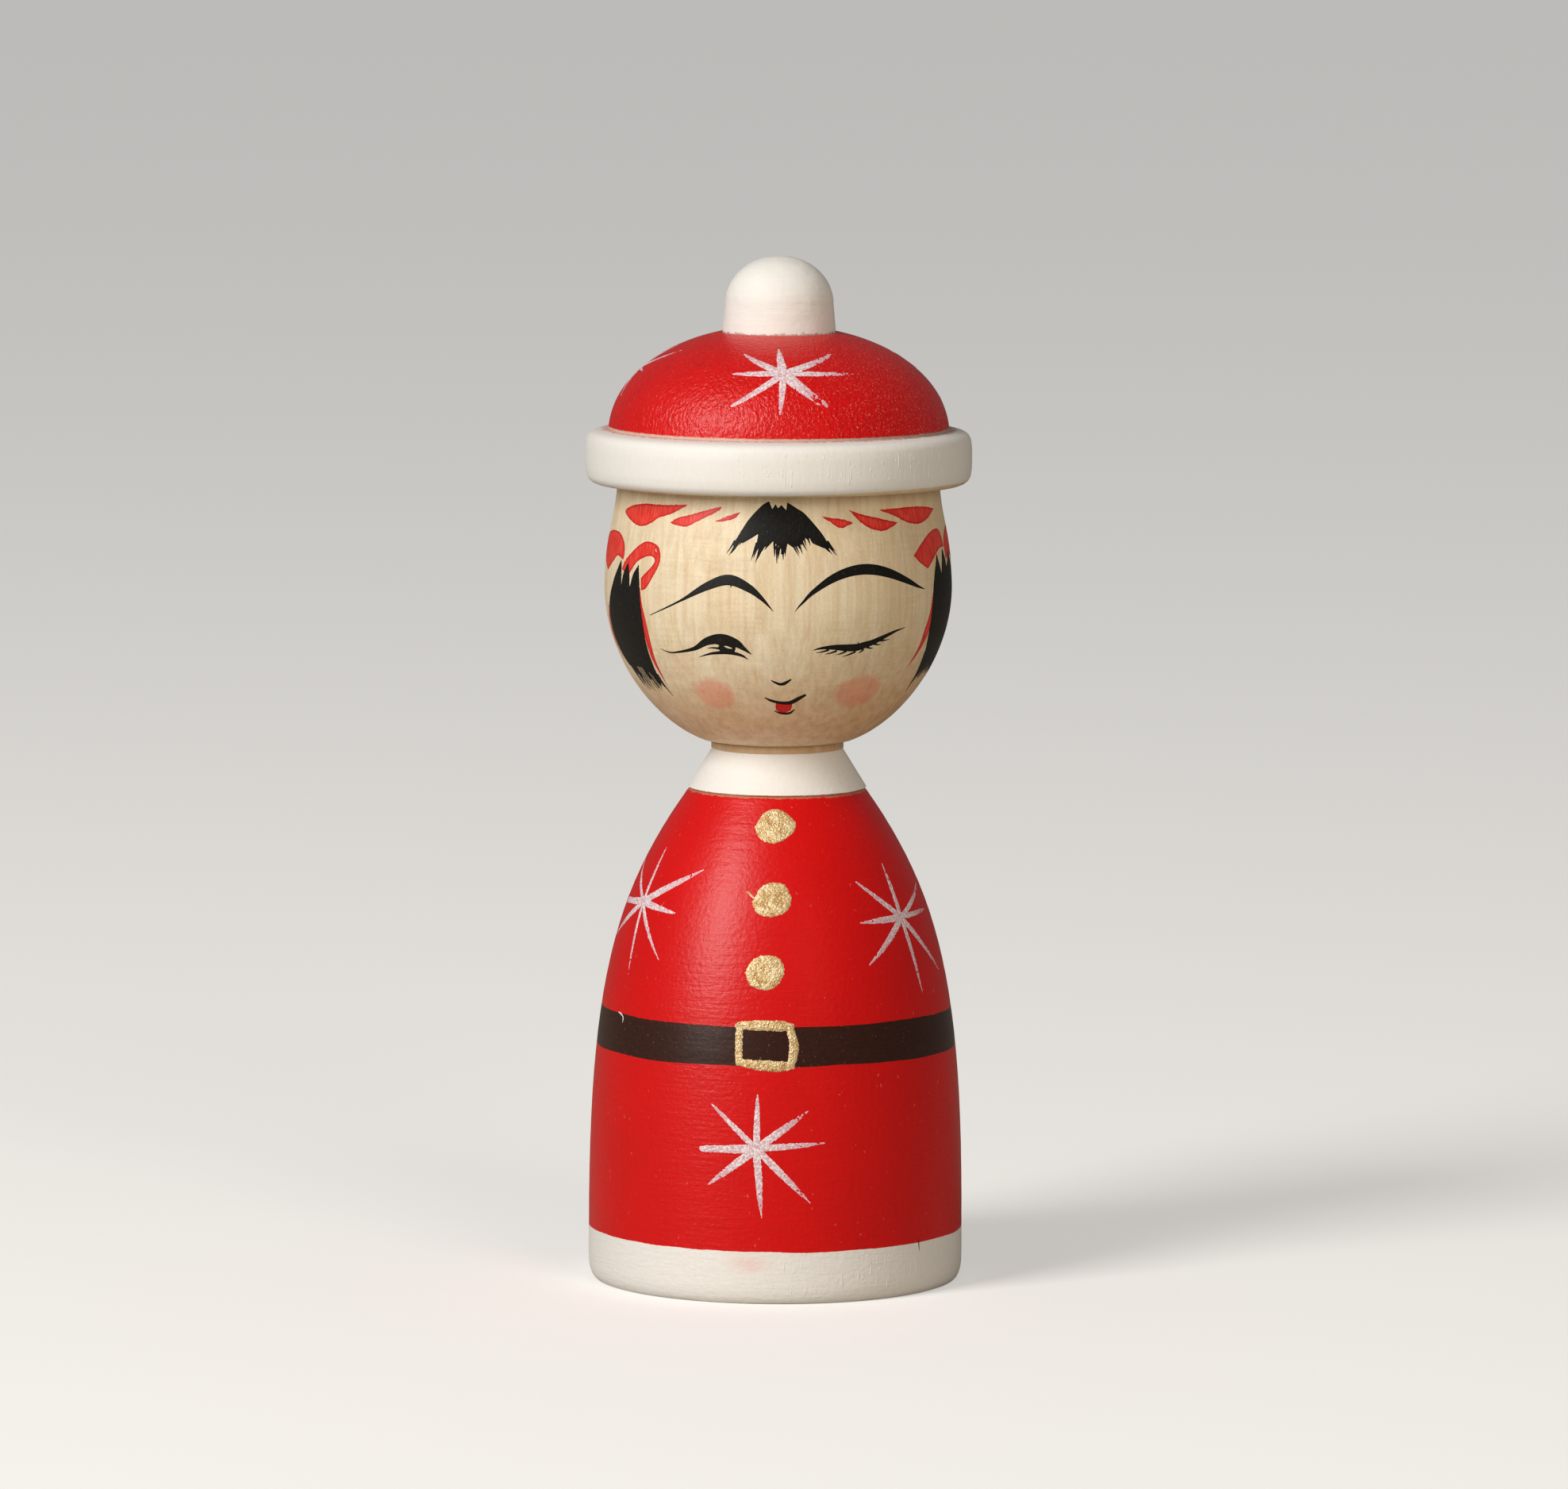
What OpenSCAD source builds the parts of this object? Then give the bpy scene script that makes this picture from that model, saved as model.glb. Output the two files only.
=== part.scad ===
// Kokeshi doll: a turned wooden doll in four pieces, with a head that turns on its neck tenon.
// Millimetres, +Z up, the origin is the centre of the foot, and the face looks along -Y.

/* [Body] */
// Widest diameter of the body
body_d = 44.2; // [36:0.1:54]
// Height of the coat, from the foot to the groove under the collar
coat_h = 58.2; // [48:0.1:70]
// Height at which the straight hem turns into the flank
hem_h = 6.2; // [4:0.1:12]
// How far the rounding of the foot goes in
foot_round = 0.9; // [0.3:0.1:2]
// How far the rounding of the foot goes up
foot_round_h = 2.4; // [0.5:0.1:3.5]
// How long the flank keeps its full width, as a share of its height
flank_fullness = 0.54; // [0.3:0.01:0.65]
// How long the shoulder keeps its slope, as a share of the flank's height
shoulder_reach = 0.295; // [0.1:0.005:0.3]
// Slope of the shoulder at the collar, in degrees
shoulder_slope = 54.6; // [45:0.1:75]

/* [Collar] */
// Diameter of the collar at the coat
collar_d = 21; // [18:0.1:26]
// Diameter of the collar under the neck
collar_top_d = 15.3; // [13.5:0.1:17.5]
// Height of the collar
collar_h = 4.8; // [4:0.1:6]
// Width of the turned groove between coat and collar
groove_w = 0.4; // [0.2:0.1:0.8]
// Depth of the turned grooves
groove_depth = 0.25; // [0.1:0.05:0.4]

/* [Head] */
// Widest diameter of the head
head_d = 40.9; // [34:0.1:50]
// Height of the head, from the chin to the hat
head_h = 30.25; // [25.4:0.05:37]
// Height of the widest place above the chin
cheek_h = 18.05; // [14:0.05:22]
// How far the neck stands out past the collar
neck_lip = 0.15; // [0:0.05:0.5]
// Height of the bare neck
neck_h = 0.85; // [0.5:0.05:2]
// How far the chin stands out past the neck
chin_step = 1.1; // [0.5:0.05:2]
// Rise of the bevel between neck and chin
chin_rise = 0.2; // [0.1:0.05:0.6]
// Slope of the jaw at the chin, in degrees
chin_slope = 20.5; // [5:0.1:35]
// How long the jaw keeps that slope, as a share of the cheek height
chin_reach = 0.34; // [0.2:0.01:0.6]
// How full the cheek is under its widest place, as a share of the cheek height
cheek_fullness = 0.46; // [0.3:0.01:0.7]
// How much the head narrows, on each side, from its widest place to the hat
crown_inset = 1.5; // [0.5:0.1:3]
// How full the temple is above the widest place, as a share of its height
temple_fullness = 0.48; // [0.3:0.01:0.6]
// How much the head leans in at the hat, in degrees
crown_lean = 3.1; // [0:0.1:10]

/* [Turning neck] */
// Diameter of the tenon
tenon_d = 10; // [8:0.1:12.4]
// Length of the tenon
tenon_l = 9; // [8:0.1:11]
// Length of the tenon's straight part, under the collar's top
tenon_straight = 2.5; // [1.5:0.1:3]
// Length of the tenon's swollen part
swell_l = 4.5; // [3:0.1:5]
// How far the swollen part stands out, which keeps the head on
swell = 0.5; // [0.2:0.05:0.7]
// Chamfer at the tenon's end
tenon_chamfer = 0.8; // [0.2:0.1:1.5]
// Running clearance round the tenon
neck_clearance = 0.08; // [0.04:0.01:0.1]
// Free space under the tenon
tenon_gap = 0.6; // [0.3:0.1:1.5]

/* [Hat] */
// How far the brim stands out past the head
brim_overhang = 3.8; // [3:0.05:6]
// Height of the brim's side
brim_h = 6.15; // [4.5:0.05:8]
// How much the brim's side bellies out
brim_belly = 0.1; // [0:0.05:0.4]
// Rounding of the brim's edges
brim_round = 1.3; // [0.5:0.1:1.6]
// Width of the brim's top, outside the dome
brim_lip = 2.45; // [2:0.05:4]
// Rise of the brim's top from its edge to the dome
brim_rise = 0.2; // [0:0.1:1]
// Height of the dome above the brim
dome_h = 11.35; // [9:0.05:14]
// How much the dome's side leans in just above the brim, in degrees
dome_lean = 4.5; // [0:0.5:20]
// How full the dome's side is, as a share of its height
dome_fullness = 0.45; // [0.3:0.01:0.6]
// How far the dome's top stays flat, as a share of its width
dome_reach = 0.61; // [0.3:0.01:0.65]
// Slope of the dome at its top, in degrees
dome_slope = 13; // [4:1:20]
// Width of the flat seat round the pompom
pompom_seat = 0.6; // [0.2:0.1:1]

/* [Pompom] */
// Diameter of the pompom
pompom_d = 12.7; // [10:0.1:15.5]
// Height of the pompom
pompom_h = 9; // [7.5:0.05:11]
// Height of its rounded cap
pompom_cap_h = 5.6; // [4:0.1:7]
// How far its foot flares
pompom_flare = 0.3; // [0:0.05:0.6]

/* [Glued plugs] */
// Diameter of the plug on the head's crown
crown_plug_d = 18; // [14:0.5:22]
// Length of the plug on the head's crown
crown_plug_l = 4; // [3:0.1:5]
// Diameter of the pompom's plug
pompom_plug_d = 5; // [4:0.1:6]
// Length of the pompom's plug
pompom_plug_l = 6; // [4:0.1:7]
// Chamfer at the end of each plug
plug_chamfer = 0.4; // [0.1:0.1:0.8]
// Clearance round each glued plug
plug_clearance = 0.05; // [0.03:0.01:0.1]
// Free space at the end of each plug
plug_gap = 0.3; // [0.1:0.1:0.6]

/* [Hidden] */
$fn = 96;
curve_steps = 24;
edge_steps = 6;
overcut = 1;

body_r = body_d / 2;
collar_r = collar_d / 2;
collar_top_r = collar_top_d / 2;
neck_z = coat_h + collar_h;
neck_r = collar_top_r + neck_lip;
chin_r = neck_r + chin_step;
chin_z = neck_z + neck_h + chin_rise;
head_r = head_d / 2;
cheek_z = chin_z + cheek_h;
crown_r = head_r - crown_inset;
crown_z = chin_z + head_h;
temple_h = head_h - cheek_h;
brim_r = crown_r + brim_overhang;
brim_edge_z = crown_z + brim_h;
dome_r = brim_r - brim_lip;
dome_z = brim_edge_z + brim_rise;
hat_top_z = dome_z + dome_h;
pompom_r = pompom_d / 2;
pompom_foot_r = pompom_r + pompom_flare;
dome_top_r = pompom_foot_r + pompom_seat;
pompom_cap_z = hat_top_z + pompom_h - pompom_cap_h;

// A point that lies a given way and angle, from the horizontal, away from another point
function away(from, length, angle) = from + length * [cos(angle), sin(angle)];

// Cubic curve from a to d, without a, which ends the stretch before it
function curve(a, b, c, d) = [
    for (i = [1:curve_steps])
        let (t = i / curve_steps, s = 1 - t)
            pow(s, 3) * a + 3 * pow(s, 2) * t * b + 3 * s * pow(t, 2) * c + pow(t, 3) * d
];

// Elliptical arc round a centre, without its first point
function arc(centre, size, start, end, steps = edge_steps) = [
    for (i = [1:steps])
        let (angle = start + (end - start) * i / steps)
            centre + [size[0] * cos(angle), size[1] * sin(angle)]
];

foot = concat(
    [[0, 0], [body_r - foot_round, 0]],
    arc([body_r - foot_round, foot_round_h], [foot_round, foot_round_h], -90, 0),
    [[body_r, hem_h]]
);

shoulder = [collar_r, coat_h - groove_w / 2];

flank_h = coat_h - hem_h;

flank = curve(
    [body_r, hem_h],
    [body_r, hem_h + flank_fullness * flank_h],
    away(shoulder, shoulder_reach * flank_h, -shoulder_slope),
    shoulder
);

collar = [
    [collar_r - groove_depth, coat_h],
    [collar_r, coat_h + groove_w / 2],
    [collar_top_r, neck_z],
    [0, neck_z]
];

jaw = curve(
    [chin_r, chin_z],
    away([chin_r, chin_z], chin_reach * cheek_h, chin_slope),
    [head_r, cheek_z - cheek_fullness * cheek_h],
    [head_r, cheek_z]
);

temple = curve(
    [head_r, cheek_z],
    [head_r, cheek_z + temple_fullness * temple_h],
    away([crown_r, crown_z], temple_h / 3, crown_lean - 90),
    [crown_r, crown_z]
);

// The side of the brim bellies out by brim_belly between its two rounded edges
brim_low = [brim_r - brim_belly - brim_round, crown_z + brim_round];
brim_high = [brim_r - brim_belly - brim_round, brim_edge_z - brim_round];

brim = concat(
    [[0, crown_z], [brim_low[0], crown_z]],
    arc(brim_low, [brim_round, brim_round], -90, 0),
    arc(
        [brim_r - brim_belly, (brim_low[1] + brim_high[1]) / 2],
        [brim_belly, (brim_high[1] - brim_low[1]) / 2],
        -90, 90
    ),
    arc(brim_high, [brim_round, brim_round], 0, 80),
    [[dome_r, dome_z]]
);

dome_foot = [dome_r - groove_depth, dome_z];
dome_top = [dome_top_r, hat_top_z];

dome = concat(
    [dome_foot],
    curve(
        dome_foot,
        away(dome_foot, dome_fullness * dome_h, 90 + dome_lean),
        away(dome_top, dome_reach * (dome_r - dome_top_r), -dome_slope),
        dome_top
    ),
    [[0, hat_top_z]]
);

// Tenon under the neck, or its socket when it is given a clearance and a gap
module tenon(clearance, gap, top) {
    r = tenon_d / 2 + clearance;
    end_z = neck_z - tenon_l - gap;
    swollen = [
        for (i = [1:curve_steps])
            [r + swell * sin(180 * i / curve_steps), neck_z - tenon_straight - swell_l * i / curve_steps]
    ];
    rotate_extrude()
        polygon(concat(
            [[0, neck_z + top], [r, neck_z + top], [r, neck_z - tenon_straight]],
            swollen,
            [[r, end_z + tenon_chamfer], [r - tenon_chamfer, end_z], [0, end_z]]
        ));
}

// Upright round plug with a chamfered end, which points up or down
module plug(d, length, base_z, way) {
    translate([0, 0, base_z])
        rotate_extrude()
            polygon([
                [0, 0],
                [d / 2, 0],
                [d / 2, way * (length - plug_chamfer)],
                [d / 2 - plug_chamfer, way * length],
                [0, way * length]
            ]);
}

// Hole that a plug fits in, open at its own base
module plug_hole(d, length, base_z, way) {
    depth = length + plug_gap;
    low = way > 0 ? base_z - overcut : base_z - depth;
    translate([0, 0, low])
        cylinder(d = d + 2 * plug_clearance, h = depth + overcut);
}

module body() {
    color("firebrick")
        difference() {
            rotate_extrude()
                polygon(concat(foot, flank, collar));
            tenon(neck_clearance, tenon_gap, overcut);
        }
}

module head() {
    color("burlywood")
        union() {
            rotate_extrude()
                polygon(concat(
                    [[0, neck_z], [neck_r, neck_z], [neck_r, neck_z + neck_h], [chin_r, chin_z]],
                    jaw,
                    temple,
                    [[0, crown_z]]
                ));
            tenon(0, 0, 0);
            plug(crown_plug_d, crown_plug_l, crown_z, 1);
        }
}

module hat() {
    color("crimson")
        difference() {
            rotate_extrude()
                polygon(concat(brim, dome));
            plug_hole(crown_plug_d, crown_plug_l, crown_z, 1);
            plug_hole(pompom_plug_d, pompom_plug_l, hat_top_z, -1);
        }
}

module pompom() {
    color("ivory")
        union() {
            rotate_extrude()
                polygon(concat(
                    [[0, hat_top_z], [pompom_foot_r, hat_top_z], [pompom_r, pompom_cap_z]],
                    arc([0, pompom_cap_z], [pompom_r, pompom_cap_h], 0, 90, curve_steps)
                ));
            plug(pompom_plug_d, pompom_plug_l, hat_top_z, -1);
        }
}

body();
head();
hat();
pompom();
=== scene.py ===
"""Kokeshi doll: its turned pieces, their paint and the studio. Metres, +Z up, the face looks along -Y."""

from math import ceil, cos, pi, radians

import bpy
import numpy as np
from mathutils import Euler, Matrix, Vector


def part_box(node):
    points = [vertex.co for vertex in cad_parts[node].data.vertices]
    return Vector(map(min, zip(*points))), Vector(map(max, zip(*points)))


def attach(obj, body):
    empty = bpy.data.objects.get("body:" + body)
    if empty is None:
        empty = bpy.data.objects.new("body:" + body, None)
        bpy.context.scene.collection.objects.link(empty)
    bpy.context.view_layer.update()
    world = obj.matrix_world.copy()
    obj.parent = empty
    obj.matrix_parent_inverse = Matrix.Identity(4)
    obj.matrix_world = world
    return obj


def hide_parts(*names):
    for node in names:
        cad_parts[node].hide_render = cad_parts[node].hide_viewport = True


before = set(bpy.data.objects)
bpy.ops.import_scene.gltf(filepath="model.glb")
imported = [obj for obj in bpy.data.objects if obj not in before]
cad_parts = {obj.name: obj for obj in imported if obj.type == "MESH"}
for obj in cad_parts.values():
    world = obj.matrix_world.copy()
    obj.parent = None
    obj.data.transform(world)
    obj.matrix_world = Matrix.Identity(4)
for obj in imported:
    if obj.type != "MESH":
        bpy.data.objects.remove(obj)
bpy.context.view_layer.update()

MM = 0.001
SEGMENTS = 288  # round each turned piece
RING_STEP = 0.45  # mm between two rings of a turned piece
END_RINGS = 6  # across each flat end of a turned piece
CORNER = radians(18)  # an outline that turns more than this has an edge there
CREASE = radians(28)  # faces of a turned piece that meet at more than this have a sharp edge
SAME = 0.03  # mm: outline points nearer than this are one
SLACK = 0.01  # mm of rounding


# ---- turned pieces


def outline(node, keep):
    """Outer (radius, height) points in mm of a turned CAD node, from its foot up, where keep(r, z) holds."""
    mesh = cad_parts[node].data
    places = np.empty(len(mesh.vertices) * 3)
    mesh.vertices.foreach_get("co", places)
    x, y, z = places.reshape(-1, 3).T / MM
    r = np.hypot(x, y)
    shown = keep(r, z)
    points = sorted(set(zip(z[shown].round(2), -r[shown].round(2))))
    line = [points[0]]
    for point in points[1:]:
        if np.hypot(*np.subtract(point, line[-1])) > SAME:
            line.append(point)
    return [(-r, z) for z, r in line]


def rounded(points):
    """The same outline with a smooth curve between its corners, as points at most RING_STEP apart."""
    p = np.array(points)
    leg = np.diff(p, axis=0)
    way = leg / np.linalg.norm(leg, axis=1)[:, None]
    before = np.vstack([way[:1], way])
    after = np.vstack([way, way[-1:]])
    sharp = (before * after).sum(1) < cos(CORNER)
    middle = before + after
    middle /= np.linalg.norm(middle, axis=1)[:, None]
    leaving = np.where(sharp[:, None], after, middle)
    arriving = np.where(sharp[:, None], before, middle)
    line = [p[0]]
    for i, step in enumerate(leg):
        length = np.linalg.norm(step)
        parts = ceil(length / RING_STEP)
        for t in np.arange(1, parts + 1) / parts:
            line.append(
                (2 * t**3 - 3 * t**2 + 1) * p[i]
                + (t**3 - 2 * t**2 + t) * length * leaving[i]
                + (3 * t**2 - 2 * t**3) * p[i + 1]
                + (t**3 - t**2) * length * arriving[i + 1]
            )
    return np.array(line)


def placed(name, data):
    thing = bpy.data.objects.new(name, data)
    bpy.context.scene.collection.objects.link(thing)
    return thing


def mesh_piece(name, vertices, faces, material):
    mesh = bpy.data.meshes.new(name)
    mesh.from_pydata(vertices, [], faces)
    mesh.shade_smooth()
    mesh.materials.append(material)
    return placed(name, mesh)


def turned(node, body, material, line):
    """A closed lathe mesh from an outline in mm, with its own unrolled UV map. It stands for the CAD node."""
    inner = np.arange(1, END_RINGS) / END_RINGS
    foot = [(line[0][0] * share, line[0][1]) for share in inner]
    top = [(line[-1][0] * share, line[-1][1]) for share in inner[::-1]]
    rings = np.array([*foot, *line, *top] if line[-1][0] > SLACK else [*foot, *line[:-1]])
    ends = np.array([(0, line[0][1]), *rings, (0, line[-1][1])])
    along = np.append(0, np.hypot(*np.diff(ends, axis=0).T).cumsum())
    along /= along[-1]
    angle = np.arange(SEGMENTS) * 2 * pi / SEGMENTS
    spot = np.empty((len(rings), SEGMENTS, 3))
    spot[:, :, 0] = rings[:, :1] * np.sin(angle) * MM
    spot[:, :, 1] = rings[:, :1] * -np.cos(angle) * MM
    spot[:, :, 2] = rings[:, 1:] * MM
    vertices = [*map(tuple, spot.reshape(-1, 3)), (0, 0, line[0][1] * MM), (0, 0, line[-1][1] * MM)]
    low, high = len(vertices) - 2, len(vertices) - 1
    last = (len(rings) - 1) * SEGMENTS
    faces, unrolled = [], []
    for j in range(SEGMENTS):
        k = (j + 1) % SEGMENTS
        left, right = j / SEGMENTS, (j + 1) / SEGMENTS
        faces.append((low, k, j))
        unrolled += [(left, 0), (right, along[1]), (left, along[1])]
        for i in range(len(rings) - 1):
            a, b = i * SEGMENTS, (i + 1) * SEGMENTS
            faces.append((a + j, a + k, b + k, b + j))
            v, w = along[i + 1], along[i + 2]
            unrolled += [(left, v), (right, v), (right, w), (left, w)]
        faces.append((last + j, last + k, high))
        unrolled += [(left, along[-2]), (right, along[-2]), (left, 1)]
    piece = mesh_piece("turned_" + node, vertices, faces, material)
    piece.data.set_sharp_from_angle(angle=CREASE)
    uv = piece.data.uv_layers.new(name="OFBake")
    uv.data.foreach_set("uv", np.array(unrolled, dtype=np.float32).ravel())
    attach(piece, body)
    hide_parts(node)


CROWN_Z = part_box("hat")[0][2] / MM
HAT_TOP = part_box("hat")[1][2] / MM
POMPOM_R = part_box("pompom")[1][0] / MM
SOCKET_R = 7.0  # the neck socket and its tenon are narrower than this
CROWN_PLUG = (9.3, 6)  # radius and height, in mm, that hold the crown's plug
PLUG_R = 2.7  # the pompom's plug is narrower than this
PLUG_END = 1  # mm above the hat's top: the pompom's plug ends below it

body_line = rounded(outline("body", lambda r, z: r > SOCKET_R))
head_line = rounded(outline("head", lambda r, z: (r > SOCKET_R) & (z < CROWN_Z + SLACK)))
hat_line = rounded(outline(
    "hat", lambda r, z: (r > CROWN_PLUG[0]) | ((z > CROWN_Z + CROWN_PLUG[1]) & (r > PLUG_R))
))
pompom_line = rounded([
    *outline("pompom", lambda r, z: (z > HAT_TOP - SLACK) & (r > PLUG_R)),
    *outline("pompom", lambda r, z: (z > HAT_TOP + PLUG_END) & (r <= PLUG_R)),
])


# ---- brush marks as thin solids
# A mark is a field over its patch of a turned piece: how far, in mm, a place lies inside the mark.
# A place on a piece is written (degrees round from the front, height in mm).

PAINT_DEPTH = 0.03  # mm that a mark's underside lies below the surface
EDGE = 0.004  # mm that its rim stands proud
MARK_CREASE = radians(60)  # CREASE for a mark
REACH = 0.3  # mm round a stroke where its field is worked out
BRISTLE = 0.22  # mm between two bumps along a worn stroke's edge
GRAIN = 0.16  # mm between two bumps on rough paint
OUTSIDE = -1.0  # the field far from every stroke
RIM = -0.02  # the field along a patch's border, so that every mark closes inside it
NEVER_ZERO = 1e-4  # the field keeps this far from 0, so that no edge crosses it at a corner
CURVE_PARTS = 8  # legs of a smooth curve between two of its points
WAVES = 64  # values each way in blotches, which repeats after them


class Skin:
    """The outside of a turned piece, which its paint follows."""

    def __init__(self, line, low, high, body, node):
        shown = (line[:, 1] >= low) & (line[:, 1] <= high)
        self.r, self.z = line[shown].T
        self.way = np.append(0, np.hypot(np.diff(self.r), np.diff(self.z)).cumsum())
        lean = np.arctan2(np.gradient(self.r, self.way), np.gradient(self.z, self.way))
        self.out, self.up = np.cos(lean), -np.sin(lean)
        self.body, self.node = body, node

    def place(self, turn, z, proud=0.0):
        """3D places in mm, proud of the surface."""
        angle = np.radians(turn)
        out, up = np.interp(z, self.z, self.out), np.interp(z, self.z, self.up)
        r = np.interp(z, self.z, self.r) + out * proud
        return np.stack([r * np.sin(angle), -r * np.cos(angle), z + up * proud], axis=-1)

    def flat(self, turn, z, middle):
        """The same places on a flat sheet in mm, true near middle degrees."""
        r = np.interp(z, self.z, self.r)
        return np.stack([np.radians(turn - middle) * r, np.interp(z, self.z, self.way)], axis=-1)


def smooth(points):
    """A smooth curve through points, which may carry more values than their place."""
    p = np.array(points, dtype=float)
    if len(p) == 2:
        return p
    p = np.vstack([2 * p[0] - p[1], p, 2 * p[-1] - p[-2]])
    t = (np.arange(CURVE_PARTS) / CURVE_PARTS)[:, None]
    line = []
    for a, b, c, d in zip(p, p[1:], p[2:], p[3:]):
        bend = 2 * a - 5 * b + 4 * c - d
        twist = 3 * b - a - 3 * c + d
        line.append((2 * b + (c - a) * t + bend * t**2 + twist * t**3) / 2)
    return np.vstack([*line, p[-2:-1]])


def blotches(x, y, seed):
    """Smooth noise from -1 to 1 over a sheet, with a new value at each whole number."""
    values = np.random.default_rng(seed).uniform(-1, 1, (WAVES, WAVES))
    i, j = np.floor(x).astype(int), np.floor(y).astype(int)
    u, v = x - i, y - j
    u, v = u * u * (3 - 2 * u), v * v * (3 - 2 * v)
    left, right, near, far = i % WAVES, (i + 1) % WAVES, j % WAVES, (j + 1) % WAVES
    low = values[left, near] * (1 - u) + values[right, near] * u
    high = values[left, far] * (1 - u) + values[right, far] * u
    return low * (1 - v) + high * v


def beside(at, a, b):
    """For each place, the share of the leg from a to b that it lies beside, and how far it lies from it."""
    leg = b - a
    t = np.clip(((at - a) @ leg) / max(leg @ leg, 1e-9), 0, 1)
    return t, np.linalg.norm(at - a - t[:, None] * leg, axis=1)


class Patch:
    """A grid over part of a skin. Strokes and areas add to its field, then solid() makes the mark."""

    def __init__(self, skin, turns, heights, cell=0.06, tall=1.0, seed=0):
        """cell is the grid's step round the piece in mm, and tall the ratio of its step upward to that."""
        self.skin, self.seed = skin, seed
        middle_r = np.interp(sum(heights) / 2, skin.z, skin.r)
        self.middle = sum(turns) / 2
        columns = ceil(radians(turns[1] - turns[0]) * middle_r / cell)
        rows = ceil((heights[1] - heights[0]) / (cell * tall))
        across, upward = np.linspace(*turns, columns), np.linspace(*heights, rows)
        self.turn, self.z = np.meshgrid(across, upward, indexing="ij")
        self.at = skin.place(self.turn, self.z)
        self.sheet = skin.flat(self.turn, self.z, self.middle)
        self.field = np.full(self.z.shape, OUTSIDE)
        self.dry = np.zeros(self.z.shape)

    def stroke(self, *points, cut=False, edge=0.0):
        """A brush stroke through (degrees, height, half width in mm, how dry the brush is from 0 to 1).

        cut takes it away from the mark instead, and edge is how far in mm its edges wander."""
        line = smooth([(*p, 0.0) if len(p) == 3 else p for p in points])
        spine = self.skin.place(line[:, 0], line[:, 1])
        reach = line[:, 2].max() + REACH
        low, high = spine.min(0) - reach, spine.max(0) + reach
        near = ((self.at > low) & (self.at < high)).all(-1)
        at = self.at[near]
        best = np.full(len(at), OUTSIDE)
        dry = np.zeros(len(at))
        wide, parched = line[:, 2:].T
        for i in range(len(spine) - 1):
            t, away = beside(at, spine[i], spine[i + 1])
            inside = wide[i] + (wide[i + 1] - wide[i]) * t - away
            closer = inside > best
            best = np.where(closer, inside, best)
            dry = np.where(closer, parched[i] + (parched[i + 1] - parched[i]) * t, dry)
        if edge:
            best = best + edge * blotches(*(self.sheet[near].T / BRISTLE), self.seed + 5)
        if cut:
            self.field[near] = np.minimum(self.field[near], -best)
        else:
            wins = best > self.field[near]
            self.field[near] = np.where(wins, best, self.field[near])
            self.dry[near] = np.where(wins, dry, self.dry[near])

    def area(self, *runs):
        """A filled outline. Each run is a smooth curve through (degrees, height) from the last one's end."""
        ring = np.vstack([smooth([runs[k - 1][-1], *run])[:-1] for k, run in enumerate(runs)])
        ring = self.skin.flat(ring[:, 0], ring[:, 1], self.middle)
        low, high = ring.min(0) - REACH, ring.max(0) + REACH
        near = ((self.sheet > low) & (self.sheet < high)).all(-1)
        at = self.sheet[near]
        inside = np.zeros(len(at), dtype=bool)
        away = np.full(len(at), np.inf)
        for a, b in zip(ring, np.roll(ring, -1, axis=0)):
            away = np.minimum(away, beside(at, a, b)[1])
            if a[1] != b[1]:
                beyond = at[:, 0] < a[0] + (at[:, 1] - a[1]) * (b[0] - a[0]) / (b[1] - a[1])
                inside ^= beyond & ((a[1] > at[:, 1]) != (b[1] > at[:, 1]))
        self.field[near] = np.maximum(self.field[near], np.where(inside, away, -away))

    def rough(self, amount, size):
        """Uneven edges: they wander by amount mm over size mm."""
        u, v = self.sheet[..., 0] / size, self.sheet[..., 1] / size
        large, small = blotches(u, v, self.seed), blotches(2.3 * u, 2.3 * v, self.seed + 1)
        self.field = self.field + amount * (large + 0.5 * small)
        return self

    def solid(self, name, material, thick=0.008, lift=0.0, soft=0.12, grit=0.0):
        """The closed mesh of the mark: a top that rounds down to the rim, a wall and an underside.

        thick is its height in mm inside the rim, lift how far it lies on other paint, soft how wide its
        rounded border is, and grit how rough its top is."""
        field = self.field
        field[[0, -1], :] = RIM
        field[:, [0, -1]] = RIM
        field = np.where(np.abs(field) < NEVER_ZERO, -NEVER_ZERO, field)
        columns, rows = field.shape
        number = np.arange(columns * rows).reshape(columns, rows)
        cells = [number[:-1, :-1], number[1:, :-1], number[1:, 1:], number[:-1, 1:]]
        cells = np.reshape(cells, (4, -1)).T
        inside = field.ravel() > 0
        keys, polygons, rims = {}, [], []

        def key(a, b):
            pair = (a, b) if a < b else (b, a)
            return keys.setdefault(pair, len(keys))

        for cell in cells[inside[cells].any(1)].tolist():
            shape, border = [], []
            for a, b in zip(cell, cell[1:] + cell[:1]):
                if inside[a]:
                    shape.append(key(a, a))
                    border.append(False)
                if inside[a] != inside[b]:
                    shape.append(key(a, b))
                    border.append(True)
            polygons.append(shape)
            for k in range(len(shape)):
                n = (k + 1) % len(shape)
                if border[k] and border[n]:
                    rims.append((shape[k], shape[n]))
        ends = np.array(list(keys))
        a, b = ends.T
        values = field.ravel()
        share = np.where(a == b, 0.0, values[a] / np.where(a == b, 1.0, values[a] - values[b]))

        def between(grid):
            grid = grid.ravel()
            return grid[a] + share * (grid[b] - grid[a])

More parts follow.
